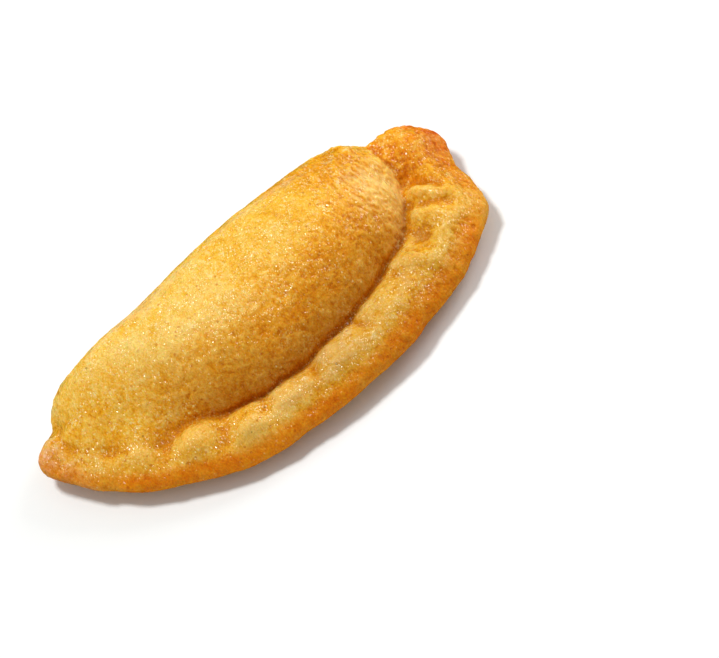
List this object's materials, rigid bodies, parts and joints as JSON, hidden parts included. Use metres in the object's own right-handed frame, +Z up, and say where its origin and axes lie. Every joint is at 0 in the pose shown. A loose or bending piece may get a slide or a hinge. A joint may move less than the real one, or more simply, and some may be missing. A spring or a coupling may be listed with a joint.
{
  "type": "sambousek",
  "caption": "Half-moon fried dough turnover with a rounded fold, a domed filled pocket and a finger-pinched rim, solid, resting on its flat underside.",
  "frame": {"origin": "centre of the bounding box in plan, on the surface that the pastry rests on", "axes": "+X from the left tip to the curled right tip, +Y from the crimped curved rim to the fold, +Z up"},
  "size_m": [0.095, 0.043, 0.021],
  "materials": {
    "crust": "golden fried dough crust, slightly oily, with browned edges"
  },
  "bodies": {
    "root": {"pastry": "crust"}
  },
  "joints": []
}
